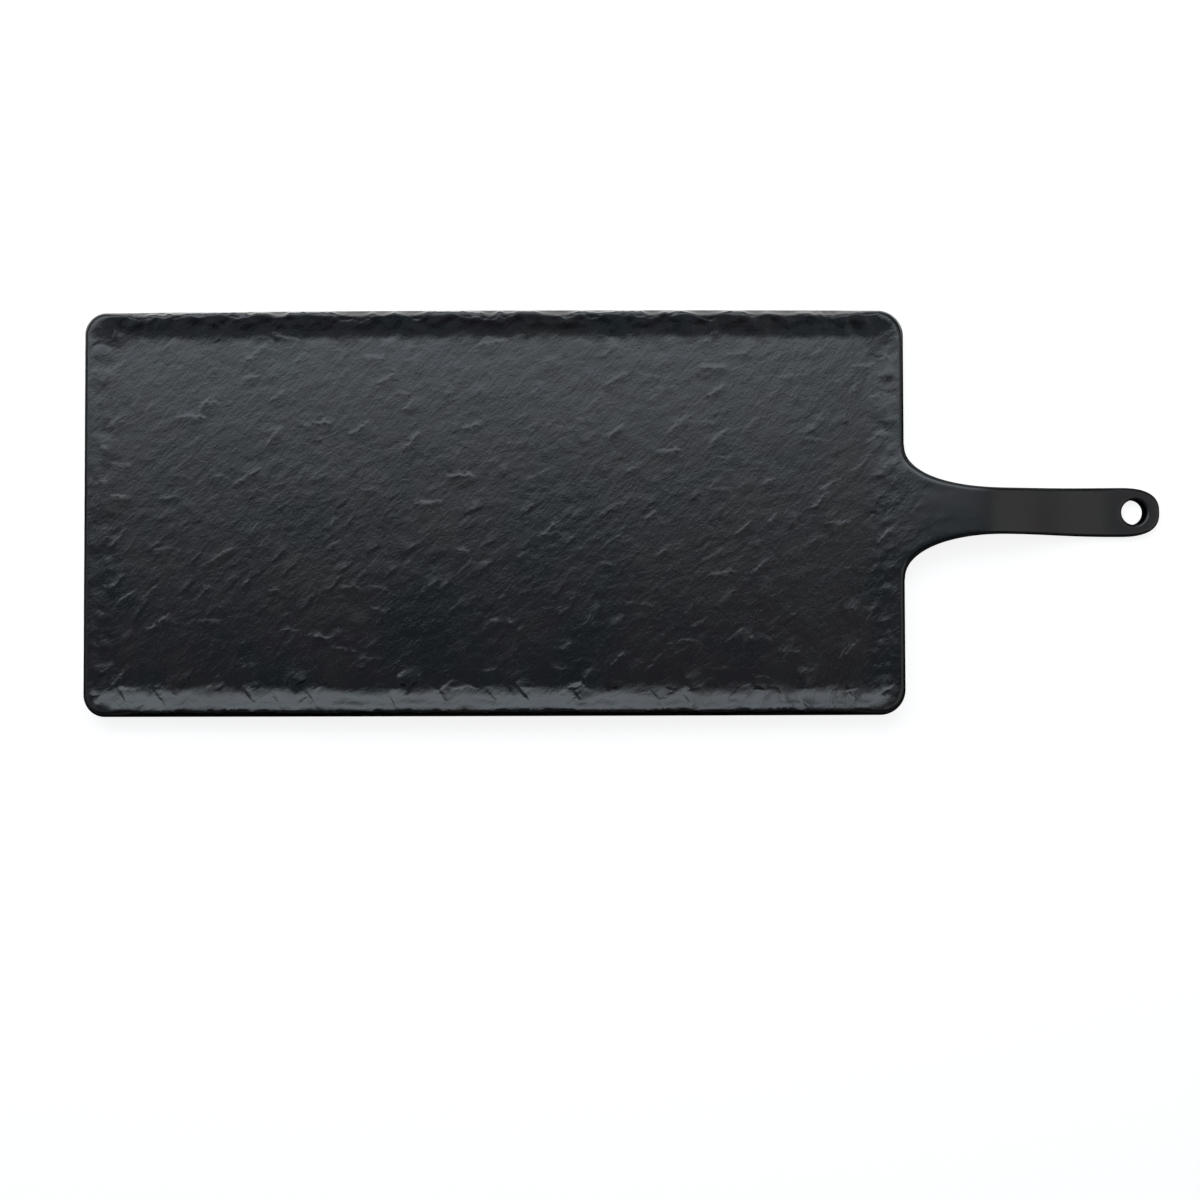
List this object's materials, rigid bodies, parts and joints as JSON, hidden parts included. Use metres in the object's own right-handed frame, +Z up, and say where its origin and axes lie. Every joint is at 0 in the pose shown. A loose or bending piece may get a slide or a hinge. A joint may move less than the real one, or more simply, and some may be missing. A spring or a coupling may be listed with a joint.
{
  "type": "serving tray",
  "caption": "Long black slate-look melamine serving tray with a shallow well, a hewn rim and one wavy handle with a hanging hole, standing on rubber feet.",
  "frame": {"origin": "on the table under the middle of the whole tray, body and handle together", "axes": "+X along the tray towards the handle's tip, +Y to the tray's back long side, +Z up from the table"},
  "size_m": [0.53, 0.199, 0.0219],
  "materials": {
    "black_melamine": "satin",
    "black_rubber": "matte"
  },
  "bodies": {
    "root": {"tray_moulding": "black_melamine", "foot_front_left": "black_rubber", "foot_front_right": "black_rubber", "foot_back_left": "black_rubber", "foot_back_right": "black_rubber"}
  },
  "joints": []
}
